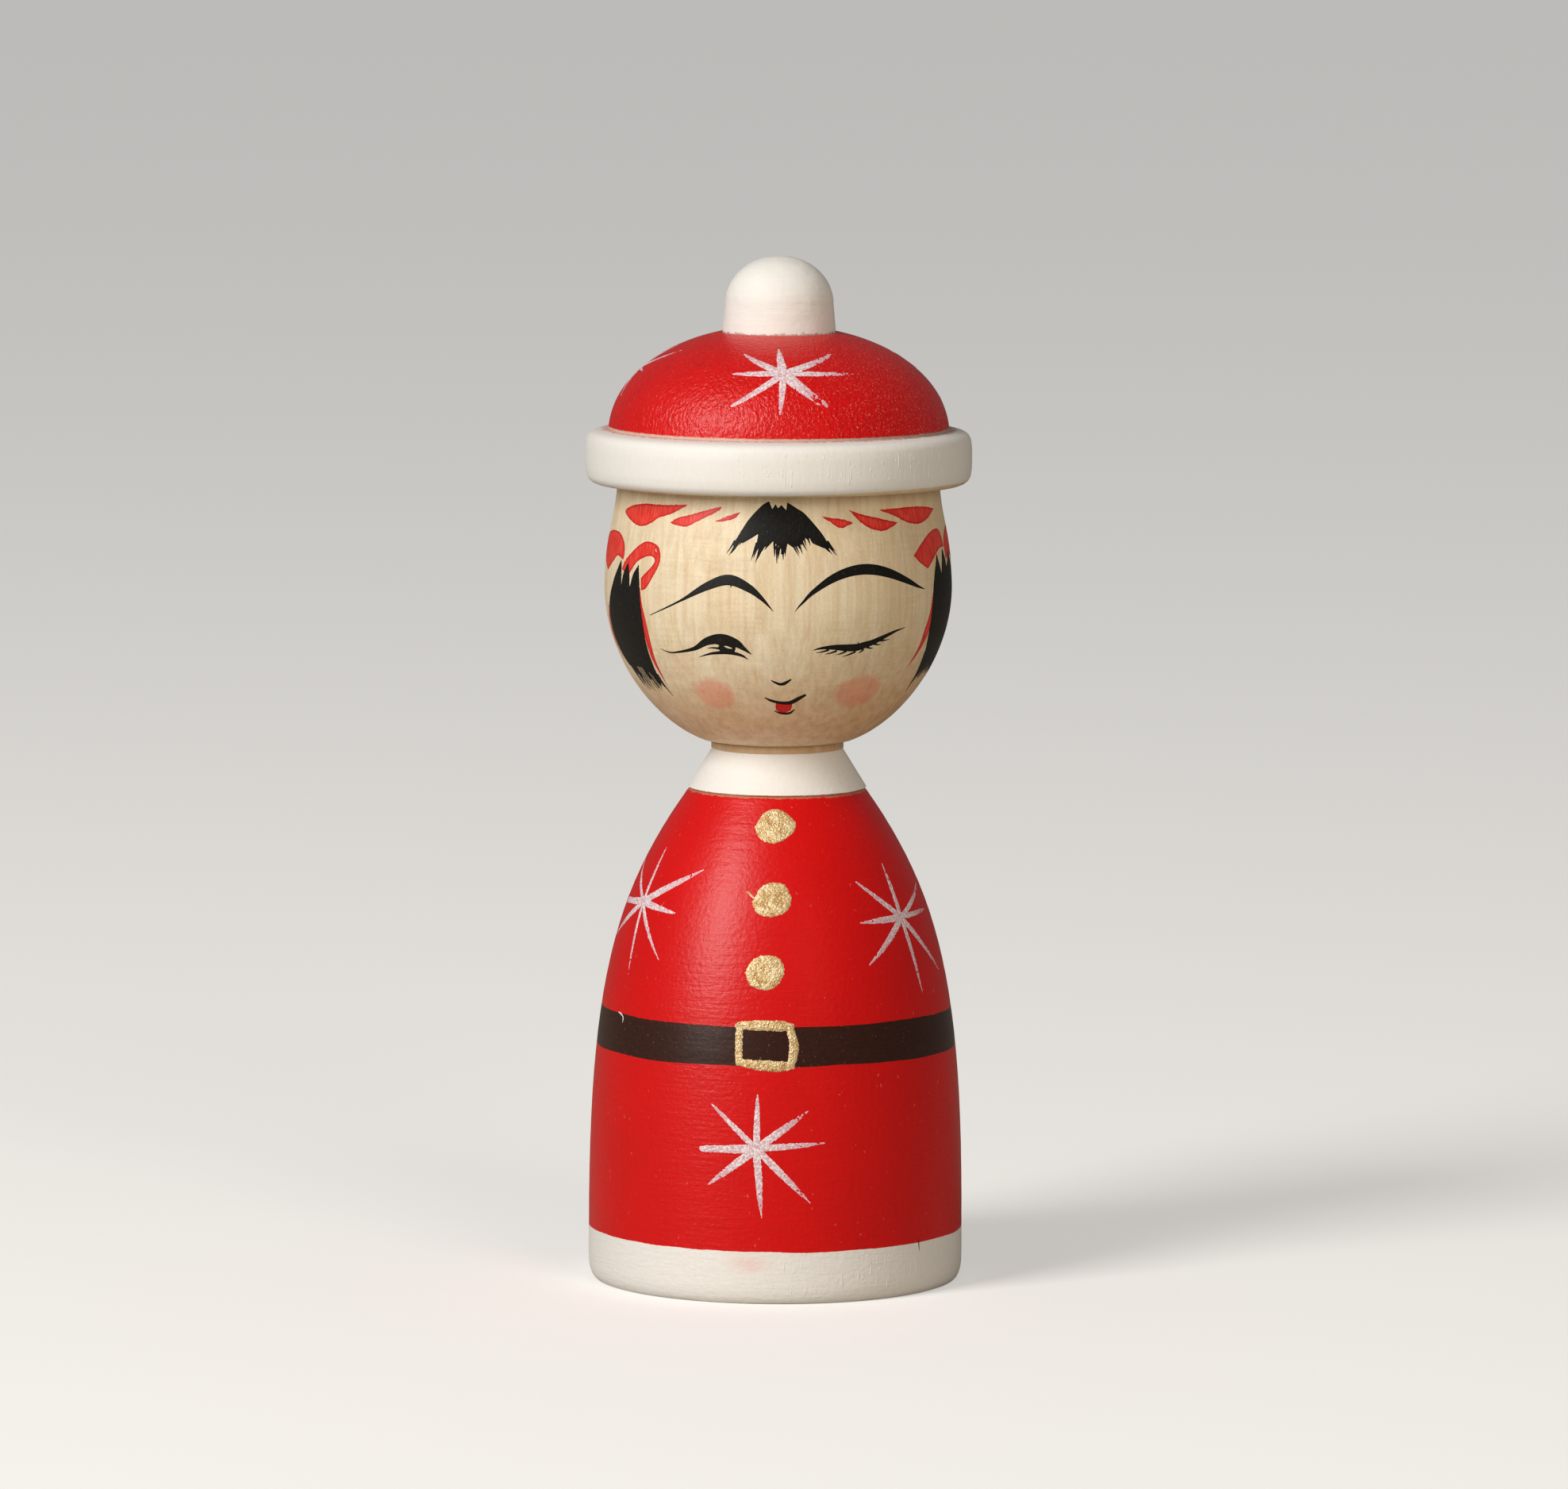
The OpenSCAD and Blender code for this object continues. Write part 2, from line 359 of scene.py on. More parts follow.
        turn, z = between(self.turn), between(self.z)
        deep = np.where(a == b, values[a], 0.0)
        swell = np.clip(deep / soft, 0, 1)
        height = lift + EDGE + thick * swell * (2 - swell)
        if grit:
            u, v = self.skin.flat(turn, z, self.middle).T
            height = height + grit * swell * blotches(u / GRAIN, v / GRAIN, self.seed + 4)
        top = self.skin.place(turn, z, height)
        under = self.skin.place(turn, z, -PAINT_DEPTH)
        n = len(keys)
        vertices = np.vstack([top, under]) * MM
        faces = [*polygons, *([i + n for i in shape[::-1]] for shape in polygons)]
        faces += [(q, p, p + n, q + n) for p, q in rims]
        piece = mesh_piece(name, [tuple(v) for v in vertices], faces, material)
        piece.data.set_sharp_from_angle(angle=MARK_CREASE)
        for attribute, value in (("inside", deep), ("dry", np.where(a == b, self.dry.ravel()[a], 0))):
            layer = piece.data.attributes.new(attribute, "FLOAT", "POINT")
            layer.data.foreach_set("value", np.tile(value, 2).astype(np.float32))
        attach(piece, self.skin.body)


# ---- materials


class Paint:
    """One material, and short calls for its nodes. Lengths in its patterns are millimetres."""

    def __init__(self, name):
        self.material = bpy.data.materials.new(name)
        self.material.use_nodes = True
        self.tree = self.material.node_tree
        self.shader = self.tree.nodes["Principled BSDF"]
        place = self.add("ShaderNodeTexCoord").outputs["Object"]
        self.place = self.stretch(place, (1 / MM, 1 / MM, 1 / MM))
        self.x, self.y, self.z = self.add("ShaderNodeSeparateXYZ", {0: self.place}).outputs[:3]
        self.turn = self.times(self.math("ARCTAN2", self.x, self.times(self.y, -1)), 180 / pi)

    def feed(self, socket, value):
        """Link the socket to another node's output, or give it a constant."""
        if isinstance(value, bpy.types.NodeSocket):
            self.tree.links.new(value, socket)
        elif isinstance(value, tuple) and len(value) == 3 and socket.type == "RGBA":
            socket.default_value = (*value, 1)
        else:
            socket.default_value = value

    def add(self, kind, inputs=None, **settings):
        node = self.tree.nodes.new(kind)
        for name, value in settings.items():
            setattr(node, name, value)
        for name, value in (inputs or {}).items():
            self.feed(node.inputs[name], value)
        return node

    def set(self, colour, rough, **others):
        """Feed the shader's sockets. The names of the others have _ for each space."""
        for name, value in dict(Base_Color=colour, Roughness=rough, **others).items():
            self.feed(self.shader.inputs[name.replace("_", " ")], value)
        return self.material

    def stretch(self, vector, by):
        return self.add("ShaderNodeVectorMath", {0: vector, 1: by}, operation="MULTIPLY").outputs[0]

    def math(self, operation, a, b=0.0):
        return self.add("ShaderNodeMath", {0: a, 1: b}, operation=operation).outputs[0]

    def plus(self, a, b):
        return self.math("ADD", a, b)

    def times(self, a, b):
        return self.math("MULTIPLY", a, b)

    def length(self, a, b):
        return self.math("SQRT", self.plus(self.times(a, a), self.times(b, b)))

    def wander(self, value, by, *noise, **more):
        """The value, moved by up to about half of by, with what noise takes."""
        return self.plus(value, self.times(self.noise(*noise, **more), by))

    def noise(self, scale, detail=2.0, upward=1, shift=0.0, power=0.5, across=1):
        """3D noise of about -0.5 to 0.5, with scale in waves a millimetre, times across or upward."""
        vector = self.stretch(self.place, (scale * across, scale * across, scale * upward))
        if shift:
            moved = self.add("ShaderNodeVectorMath", {0: vector, 1: (shift,) * 3}, operation="ADD")
            vector = moved.outputs[0]
        inputs = {"Vector": vector, "Scale": 1.0, "Detail": detail, "Roughness": power}
        return self.plus(self.add("ShaderNodeTexNoise", inputs).outputs[0], -0.5)

    def past(self, value, edge, soft):
        """0 where value is below edge, 1 above it, with a soft change."""
        gap = self.math("SUBTRACT", value, edge)
        inputs = {"Value": gap, "From Min": -soft, "From Max": soft}
        return self.add("ShaderNodeMapRange", inputs, interpolation_type="SMOOTHSTEP").outputs[0]

    def below(self, value, edge, soft):
        return self.past(self.times(value, -1), -edge, soft)

    def between(self, value, low, high, soft):
        return self.times(self.past(value, low, soft), self.below(value, high, soft))

    def mix(self, share, a, b, blend="MIX"):
        inputs = {"Factor": share, 6: a, 7: b}
        return self.add("ShaderNodeMix", inputs, data_type="RGBA", blend_type=blend).outputs[2]

    def shade(self, colour, by):
        """The colour with its strength multiplied by 1 + by."""
        grey = self.add("ShaderNodeCombineColor", dict.fromkeys(("Red", "Green", "Blue"), self.plus(by, 1.0)))
        return self.mix(1.0, colour, grey.outputs[0], "MULTIPLY")

    def of_mark(self, name):
        return self.add("ShaderNodeAttribute", attribute_name=name).outputs["Fac"]

    def relief(self, *layers):
        """Bumps from (height, depth in mm) layers, one on the next."""
        normal = None
        for height, depth in layers:
            inputs = {"Height": height, "Distance": depth * MM, "Strength": 1.0}
            if normal:
                inputs["Normal"] = normal
            normal = self.add("ShaderNodeBump", inputs).outputs[0]
        return normal


def srgb(*levels):
    """A colour written as 0-255 screen levels, in the linear values that shaders take."""
    share = np.array(levels) / 255
    linear = np.where(share < 0.04045, share / 12.92, ((share + 0.055) / 1.055) ** 2.4)
    return tuple(float(v) for v in linear)


WOOD = srgb(226, 206, 171)
WOOD_PALE = srgb(239, 224, 194)
WOOD_TAN = srgb(222, 186, 134)
WOOD_SPARK = srgb(250, 240, 216)
WOOD_BROWN = srgb(168, 116, 66)
WOOD_DARK = srgb(190, 152, 108)
WOOD_CHIN = srgb(232, 168, 84)  # browner wood under the face; its larger share towards +x is painted shade
WOOD_NECK = srgb(176, 128, 84)
BARE_SEAM = srgb(186, 134, 106)  # wood that shows through where two colours meet
RED = srgb(210, 10, 8)
# darker red for the orange peel's hollows: painted shade
RED_PIT_SHADE = srgb(160, 8, 8)
RED_SPECK_HIGHLIGHT = srgb(240, 130, 120)  # painted highlight: a raised speck of paint that catches the light
WHITE = srgb(237, 233, 226)
PINK_SMUDGE = srgb(240, 160, 140)
BELT = srgb(52, 24, 14)
BELT_SPECK = srgb(150, 120, 110)
ROUGE = srgb(236, 106, 86)
ROUND = 0.12  # draws noise out round the doll, as the lathe's tool leaves it

# Heights in mm where one colour meets another.
HEM_Z = 6.25
BELT_Z = (27.9, 32.5)
COLLAR_Z = 58.25
COLLAR_SEAM_Z = (58.02, 58.34)
NECK_Z = 64.0
CHIN_Z = 71
BRIM_FOOT_Z = 94.5
DOME_Z = 100.9
DOME_SEAM_Z = (100.6, 100.95)
DOME_SEAM_R = 20.98
ROUGE_SPOTS = [(-25.8, 70.8, 8.8), (33.5, 71.1, 10.8)]  # degrees round, height, half width in degrees
ROUGE_TALL = 2.0  # mm, half height


def bare_wood(p):
    """Base colour and relief of the turned wood, with painted shade towards +x."""
    bands = p.noise(0.5, 3, 0.025, 7, 0.6)
    fibres = p.noise(2.6, 3, 0.03)
    fine = p.noise(6.5, 2, 0.45, 3)
    colour = p.mix(p.past(p.plus(p.times(fibres, 0.5), bands), 0.0, 0.22), WOOD, WOOD_PALE)
    tan = p.past(p.noise(0.35, 2, 0.3, 17), 0.03, 0.2)
    # Painted shade: the wood turns tan towards +x, the side away from the key light.
    painted_shade_right = p.past(p.x, 9, 9)
    colour = p.mix(p.plus(p.times(tan, 0.22), p.times(painted_shade_right, 0.24)), colour, WOOD_TAN)
    streaks = p.past(p.noise(1.7, 3, 0.022, 11), 0.06, 0.14)
    colour = p.mix(p.times(streaks, 0.24), colour, WOOD_DARK)
    sparks = p.past(p.noise(5.5, 2, 0.5, 13), 0.2, 0.05)
    colour = p.mix(p.times(sparks, 0.4), colour, WOOD_SPARK)
    chatter = p.noise(2.4, 3, shift=5, across=ROUND)
    worked = p.times(p.between(p.z, 70, 91, 4), p.past(p.noise(0.12, 1, shift=2), -0.03, 0.15))
    # Browner wood under the face, with a larger share towards +x that is painted shade.
    chin = p.times(p.below(p.z, CHIN_Z, 7), p.plus(0.24, p.times(painted_shade_right, 0.26)))
    colour = p.mix(chin, colour, WOOD_CHIN)
    grooves = p.past(p.noise(1.0, 3, 0.04, 23), 0.04, 0.12)
    colour = p.mix(p.times(p.times(grooves, chin), 0.8), colour, WOOD_BROWN)
    colour = p.shade(colour, p.plus(p.times(fine, 0.30), p.times(p.times(chatter, worked), 0.36)))
    return colour, p.relief((fibres, 0.012), (chatter, 0.010), (fine, 0.004))


def coat_red(p, fine):
    grain = p.noise(3.4, 2, 0.1, 12)
    cloud = p.times(p.noise(0.15), 0.14)
    colour = p.shade(RED, p.plus(cloud, p.plus(p.times(fine, 0.18), p.times(grain, 0.16))))
    # Pale specks: painted highlights where raised paint catches the light.
    specks = p.past(p.noise(2.4, 2, 0.6, 21), 0.235, 0.02)
    return p.mix(p.times(specks, 0.35), colour, RED_SPECK_HIGHLIGHT)


def coat_white(p):
    """The white of hem and collar, with a pink smudge on the hem left of the middle."""
    colour = p.shade(WHITE, p.times(p.noise(2.2, 3, 0.25, 6), 0.07))
    height = p.wander(p.z, 1.1, 0.35, shift=9)
    smudge = p.times(p.between(p.turn, -13, -3, 5), p.between(height, 4.0, 5.6, 0.9))
    return p.mix(p.times(smudge, 0.30), colour, PINK_SMUDGE)


def belt_brown(p):
    colour = p.shade(BELT, p.times(p.noise(3, 3, shift=8, across=0.5), 0.9))
    specks = p.past(p.noise(4.2, shift=12), 0.22, 0.03)
    return p.mix(p.times(specks, 0.5), colour, BELT_SPECK)


def coat_paint():
    p = Paint("coat_paint")
    z = p.wander(p.wander(p.z, 0.5, 0.12, 1), 0.10, 1.6, shift=4)
    hem = p.past(z, HEM_Z, 0.035)
    belt = p.between(z, *BELT_Z, 0.035)
    collar = p.past(z, COLLAR_Z, 0.03)
    rings = p.noise(2.6, shift=3, across=ROUND)
    peel = p.noise(1.9, 3)
    fine = p.noise(6)
    white = coat_white(p)
    colour = p.mix(hem, white, coat_red(p, fine))
    colour = p.mix(belt, colour, belt_brown(p))
    colour = p.mix(collar, colour, white)
    bare = p.between(p.wander(p.z, 0.5, 2.2, 3, shift=31), *COLLAR_SEAM_Z, 0.05)
    colour = p.mix(p.times(bare, 0.75), colour, BARE_SEAM)
    flat = p.math("SUBTRACT", 1.0, p.times(belt, 0.6))
    relief = p.relief((p.times(rings, flat), 0.046), (p.times(peel, flat), 0.055), (fine, 0.012))
    white_share = p.math("MAXIMUM", p.math("SUBTRACT", 1.0, hem), collar)
    rough = p.plus(p.plus(0.36, p.times(fine, 0.12)), p.times(white_share, 0.2))
    return p.set(colour, rough, Normal=relief, Specular_IOR_Level=0.33)


def hat_red(p, peel, fine):
    colour = p.shade(RED, p.plus(p.times(p.noise(0.2), 0.16), p.times(fine, 0.2)))
    # Pale specks, more of them towards +x: painted highlights where raised paint catches the light.
    specks = p.past(p.plus(p.noise(4.4, shift=21), p.times(p.x, 0.003)), 0.17, 0.03)
    colour = p.mix(p.times(specks, 0.6), colour, srgb(240, 124, 112))
    # Darker red in the peel's low spots: painted shade in its hollows.
    shaded_pits = p.below(peel, -0.16, 0.05)
    return p.mix(p.times(shaded_pits, 0.45), colour, RED_PIT_SHADE)


def hat_paint():
    p = Paint("hat_paint")
    peel = p.plus(p.times(p.noise(1.3), 0.35), p.noise(2.7, 2, 0.6, 8))
    fine = p.noise(6)
    out = p.length(p.x, p.y)
    dome = p.past(p.z, DOME_Z, 0.1)
    white = p.shade(WHITE, p.times(p.noise(2.4, 3, 0.3, 6), 0.08))
    edge = p.past(p.wander(p.z, 0.22, 1.4, shift=4), DOME_Z, 0.05)
    colour = p.mix(edge, white, hat_red(p, peel, fine))
    seam = p.between(p.wander(p.z, 0.4, 2.6, 3, shift=31), *DOME_SEAM_Z, 0.05)
    seam = p.times(seam, p.below(out, DOME_SEAM_R, 0.15))
    # The bare seam is pink on the left and darker brown towards +x: painted shade on that side.
    seam_colour_shaded = p.mix(p.past(p.x, 4, 14), srgb(206, 150, 128), srgb(160, 116, 98))
    colour = p.mix(p.times(seam, 0.75), colour, seam_colour_shaded)
    bare_edge = p.plus(BRIM_FOOT_Z, p.times(p.past(p.x, 8, 9), 0.42))
    painted = p.past(p.wander(p.z, 0.2, 1.1, shift=14), bare_edge, 0.05)
    colour = p.mix(painted, bare_wood(p)[0], colour)
    joint = p.below(p.wander(out, 0.5, 1.8), POMPOM_R + 0.15, 0.12)
    colour = p.mix(p.times(p.times(joint, dome), 0.7), colour, srgb(150, 90, 76))
    flow = p.noise(1.8, 3, 0.15, 5)
    relief = p.relief((p.times(peel, dome), 0.20), (flow, 0.03), (fine, 0.012))
    rough = p.plus(p.times(dome, -0.22), p.plus(0.55, p.times(fine, 0.12)))
    return p.set(colour, rough, Normal=relief, Specular_IOR_Level=0.42)


def pompom_paint():
    p = Paint("pompom_paint")
    rings = p.noise(3.2, 3, shift=2, across=0.06)
    cloud = p.noise(0.5, 3, shift=5)
    colour = p.shade(WHITE, p.plus(p.times(rings, 0.07), p.times(cloud, 0.05)))
    foot = p.below(p.wander(p.z, 1.0, 1.6, 3, shift=3), HAT_TOP + 0.12, 0.1)
    colour = p.mix(p.times(foot, 0.75), colour, srgb(176, 134, 118))
    relief = p.relief((rings, 0.045), (cloud, 0.12))
    return p.set(colour, 0.62, Specular_IOR_Level=0.3, Normal=relief)


def head_wood():
    """Bare wood with a dab of rouge on each cheek and a darker neck."""
    p = Paint("head_wood")
    colour, relief = bare_wood(p)
    for turn, z, wide in ROUGE_SPOTS:
        away = p.length(p.times(p.plus(p.turn, -turn), 1 / wide), p.times(p.plus(p.z, -z), 1 / ROUGE_TALL))
        dab = p.below(p.wander(away, 0.25, 1.2, shift=8), 0.93, 0.2)
        worn = p.plus(0.40, p.times(p.noise(2.6, 3, 0.2, 9), 0.3))
        colour = p.mix(p.times(dab, worn), colour, ROUGE)
    colour = p.mix(p.times(p.below(p.z, NECK_Z, 0.15), 0.45), colour, WOOD_NECK)
    return p.set(colour, p.plus(0.5, p.times(p.noise(3, 2, 0.05), 0.2)), Normal=relief)


def black_ink():
    """Brushed black: even along its rim, with paler flecks inside."""
    p = Paint("black_ink")
    grain = p.noise(4.5, 3, 0.3)
    colour = p.mix(p.past(grain, 0.02, 0.2), srgb(13, 12, 9), srgb(26, 23, 19))
    flecks = p.past(p.noise(5.5, 2, 0.4, 4), 0.2, 0.05)
    colour = p.mix(flecks, colour, srgb(62, 62, 58))
    colour = p.mix(p.past(p.of_mark("inside"), 0.16, 0.1), srgb(11, 10, 8), colour)
    return p.set(colour, 0.5, Specular_IOR_Level=0.3, Normal=p.relief((grain, 0.012)))


def red_ink(name, deep, thin):
    """Brushed red: deep in colour round its rim, where it dried, and thinner inside."""
    p = Paint(name)
    grain = p.noise(3.4, 3, 0.1)
    colour = p.mix(p.past(grain, 0.03, 0.22), deep, thin)
    colour = p.mix(p.past(p.of_mark("inside"), 0.2, 0.16), srgb(200, 24, 17), colour)
    return p.set(colour, 0.46, Normal=p.relief((grain, 0.02)))


def star_paint():
    """Thin white, pinker where the brush was dry, with the red showing through in places."""
    p = Paint("star_paint")
    cloud = p.noise(4.2, 3)
    thin = p.past(p.plus(cloud, p.times(p.of_mark("dry"), 0.25)), 0.025, 0.12)
    colour = p.mix(thin, srgb(240, 235, 232), srgb(214, 168, 180))
    holes = p.past(p.noise(4.4, shift=6), 0.2, 0.06)
    colour = p.mix(p.times(holes, 0.5), colour, srgb(170, 90, 105))
    return p.set(colour, 0.5, Normal=p.relief((cloud, 0.05)))


def gold_paint():
    p = Paint("gold_paint")
    crumple = p.noise(4.6, 3)
    patches = p.noise(1.1, shift=15)
    glinting_flakes = p.plus(p.noise(7, 1, shift=5), p.times(patches, 0.5))
    colour = p.mix(p.past(p.plus(crumple, patches), -0.06, 0.3), srgb(196, 150, 92), srgb(246, 214, 154))
    # Pale flakes: partly the gold's own colour, partly painted glints.
    colour = p.mix(p.past(glinting_flakes, 0.10, 0.06), colour, srgb(254, 242, 210))
    relief = p.relief((crumple, 0.16), (glinting_flakes, 0.06))
    return p.set(colour, 0.36, Metallic=0.45, Normal=relief)


def white_paint():
    p = Paint("white_paint")
    colour = p.shade(WHITE, p.times(p.noise(3), 0.05))
    return p.set(colour, 0.5, Normal=p.relief((p.noise(2), 0.02)))


# ---- the pieces and marks

turned("body", "body", coat_paint(), body_line)
turned("head", "head", head_wood(), head_line)
turned("hat", "head", hat_paint(), hat_line)
turned("pompom", "head", pompom_paint(), pompom_line)

BRIM_TOP = 100.2  # mm: above it the brim's edge is rounded
coat = Skin(body_line, 1, 58, "body", "body")
face = Skin(head_line, NECK_Z + 0.1, CROWN_Z, "head", "head")
dome = Skin(hat_line, DOME_Z, HAT_TOP, "head", "hat")
brim = Skin(hat_line, CROWN_Z + 0.3, BRIM_TOP, "head", "hat")

BLACK = black_ink()
INK = red_ink("red_ink", srgb(218, 36, 27), srgb(240, 84, 66))
LIPS = red_ink("lip_ink", srgb(205, 22, 18), srgb(222, 40, 32))
OVER = 0.012  # mm that a mark lies higher where it crosses another
SNOW = star_paint()
GOLD = gold_paint()
DRIP = white_paint()


def bangs():
    patch = Patch(face, (-20, 22), (85.8, 94.1), tall=1.2, seed=1)
    patch.area(
        [(-6.1, 93.05), (-10.3, 91.5), (-13.9, 89.5), (-15.3, 88.6)],
        [(-14.3, 88.4), (-9.5, 89.3), (-6.8, 89.9)], [(-7.2, 88.9), (-7.7, 88)],
        [(-5.2, 87.9), (-3.6, 88.4), (-1.7, 89.1)], [(-1.4, 88.3), (-0.8, 87.7)],
        [(1.3, 87.6), (2.5, 87.9), (3.1, 88.8)], [(5.9, 88.2), (7.5, 88.3), (8.8, 89.5)],
        [(11.8, 88.8), (16.8, 88.1), (17.4, 88.5)],
        [(14.6, 90.1), (9.4, 92.15), (6.4, 92.85), (3.1, 93.55)], [(2.7, 92.65)], [(1, 93.25)],
        [(-0.1, 92.85)], [(-1, 93.35)], [(-2.1, 92.75)], [(-3.2, 93.65)], [(-4, 93.55)],
    )
    hairs = [  # the foot of each hair and its tip
        (-14.8, 88.7, -17.7, 87.6), (-14.1, 88.6, -16.9, 87.3), (-13.4, 88.6, -15.9, 87.7),
        (-7.3, 88.5, -9.3, 86.7), (-6.8, 88.4, -8.4, 87.1), (-6, 88.3, -7.7, 86.4), (-5.2, 88.2, -7.1, 87),
        (-1.3, 88.5, -1.1, 87.2), (-0.5, 88.2, -0.4, 86.3), (0.2, 88, 0, 87.1), (1.6, 88.2, 1.7, 86.8),
        (2.4, 88.2, 2.3, 87.4), (4.4, 88.7, 7.4, 87.3), (5.5, 88.6, 7.3, 87.7), (6.9, 88.7, 8.3, 87.6),
        (7.7, 89, 9.9, 88), (8.5, 89.4, 9.6, 88.5), (16.9, 88.7, 19.8, 87.85), (16.5, 88.5, 20.5, 87.35),
        (15.8, 88.4, 18.7, 87.5), (15.1, 88.5, 17.3, 87.9), (9.9, 89.4, 11, 88.6),
    ]
    for foot, foot_z, tip, tip_z in hairs:  # a pale gap beside each hair, where the brush ran dry
        lean = (tip - foot) / (tip_z - foot_z)
        start = (foot + 0.55 + 0.4 * lean, foot_z + 0.4, 0.0)
        patch.stroke(start, (foot + 0.55, foot_z, 0.06), (tip + 0.55, tip_z, 0.1), cut=True)
    for foot, foot_z, tip, tip_z in hairs:
        middle = ((foot + tip) / 2, (foot_z + tip_z) / 2, 0.08)
        patch.stroke((foot, foot_z + 0.3, 0.13), middle, (tip, tip_z - 0.15, 0.0))
    patch.solid("bangs", BLACK)


def brows():
    left = Patch(face, (-49.5, 0.5), (78.8, 86.2), seed=2)
    left.stroke(
        (-47.2, 79.85, 0.04), (-39.7, 80.9, 0.09), (-32.6, 82.05, 0.16), (-23.6, 83.75, 0.48),
        (-16.3, 84.55, 0.62), (-9.8, 83.7, 0.48), (-5.1, 82.4, 0.23), (-1.4, 80.95, 0.02),
    )
    left.stroke((-15.4, 84.35, 0.06), (-15.5, 83.75, 0.07))
    left.solid("brow_left", BLACK)
    right = Patch(face, (3.5, 59), (80.2, 87), seed=3)
    right.stroke(
        (5.5, 80.9, 0.02), (6.6, 81.45, 0.08), (8.2, 82.05, 0.14), (11.3, 83.15, 0.26), (17.7, 84.65, 0.46),
        (24.5, 85.5, 0.58), (31.6, 85.65, 0.62), (39.2, 85.1, 0.55), (47.7, 84, 0.36), (52.6, 83.3, 0.19),
        (56.9, 82.8, 0.03),
    )
    right.stroke((28.3, 85.5, 0.05), (28.3, 85.15, 0.06))
    right.stroke((19.2, 85.05, 0.05), (19.2, 84.65, 0.05))
    right.solid("brow_right", BLACK)


def eyes():
    left = Patch(face, (-46.5, -7.5), (74.5, 79.1), cell=0.05, seed=4)
    left.stroke(
        (-44.7, 75.95, 0.03), (-41.6, 75.65, 0.08), (-38.2, 75.65, 0.11), (-30, 76.25, 0.24),
        (-24.4, 77.25, 0.48), (-19.2, 77.55, 0.68), (-14.5, 77.2, 0.52), (-11.5, 76.5, 0.25),
        (-9, 75.85, 0.03),
    )
    left.stroke((-18.4, 76.6, 0.74), (-16.6, 76.6, 0.74))
    left.stroke(
        (-28.7, 75.25, 0.02), (-25.6, 75.6, 0.1), (-22.5, 75.85, 0.17), (-17.1, 76, 0.24),
        (-12.6, 75.7, 0.17), (-10.2, 75.2, 0.02),
    )
    left.stroke((-24.8, 76.4, 0.02), (-22.9, 76.5, 0.09), (-20.2, 76.45, 0.15))
    left.stroke((-18.4, 76.75, 0.04), (-17.3, 76.65, 0.12), (-15.8, 76.5, 0.05), cut=True)
    left.stroke((-23, 76.85, 0.02), (-21.4, 76.85, 0.1), (-20.3, 76.75, 0.04), cut=True)
    left.stroke((-22.6, 76.15, 0.03), (-21.2, 76.2, 0.09), (-20.6, 76.25, 0.03), cut=True)
    left.solid("eye_open", BLACK)
    right = Patch(face, (10.5, 49.5), (74.9, 79.3), cell=0.05, seed=5)
    right.stroke(
        (12.1, 76.35, 0.03), (14.2, 76.55, 0.13), (17, 76.65, 0.22), (20.2, 76.65, 0.33), (24, 76.55, 0.43),
        (27.9, 76.55, 0.46), (31, 76.8, 0.42), (33.8, 77.05, 0.35), (37, 77.45, 0.3), (42.6, 78.15, 0.16),
        (47.5, 78.55, 0.03),
    )
    right.stroke((28.3, 76.9, 0.06), (28.2, 77.2, 0.05))
    lashes = [  # from each lash's tip to its foot
        (13.1, 76.05, 17.4, 76.35), (16.4, 75.85, 20.3, 76.2), (20.5, 75.75, 23.9, 76.1),
        (22.9, 75.5, 27.4, 76), (28.8, 75.85, 30.5, 76.2), (34.7, 76.35, 31.9, 76.5),
        (37.8, 76.75, 34.5, 76.85), (41.1, 77.3, 36.5, 77.2),
    ]
    for tip, tip_z, foot, foot_z in lashes:
        middle = ((tip + foot) / 2, (tip_z + foot_z) / 2 - 0.05, 0.09)
        right.stroke((tip, tip_z, 0.02), middle, (foot, foot_z, 0.13))
    right.solid("eye_winking", BLACK)


def nose_and_mouth():
    nose = Patch(face, (-4.5, 6.5), (71.4, 73.7), cell=0.04, seed=6)
    nose.stroke(
        (-2.3, 72.7, 0.06), (-0.8, 72.45, 0.14), (1, 72.25, 0.19), (2.6, 72.35, 0.21), (4.8, 72.8, 0.11),
    )
    nose.solid("nose", BLACK)
    lip = Patch(face, (-2.5, 7.5), (68.1, 70.4), cell=0.04, seed=7)
    lip.area(
        [(2.8, 69.85), (6.0, 70.0)], [(6.1, 69.5), (5.7, 68.95)],
        [(2.8, 68.65), (0.0, 68.9), (-0.8, 69.3), (-0.6, 69.95)],
    )
    lip.solid("lips", LIPS)
    mouth = Patch(face, (-6.5, 12.5), (67.8, 71.6), cell=0.04, seed=8)
    mouth.stroke(
        (-5, 70.55, 0.07), (-2.6, 70.2, 0.17), (0.9, 69.95, 0.21), (3.8, 69.9, 0.25), (5.8, 70, 0.29),
        (8.2, 70.4, 0.27), (10.8, 70.85, 0.17),
    )
    mouth.stroke(
        (-1.3, 68.9, 0.05), (0.9, 68.65, 0.14), (3.5, 68.55, 0.18), (5.6, 68.65, 0.16), (7.2, 69.05, 0.07),
    )
    mouth.solid("mouth", BLACK, lift=OVER)


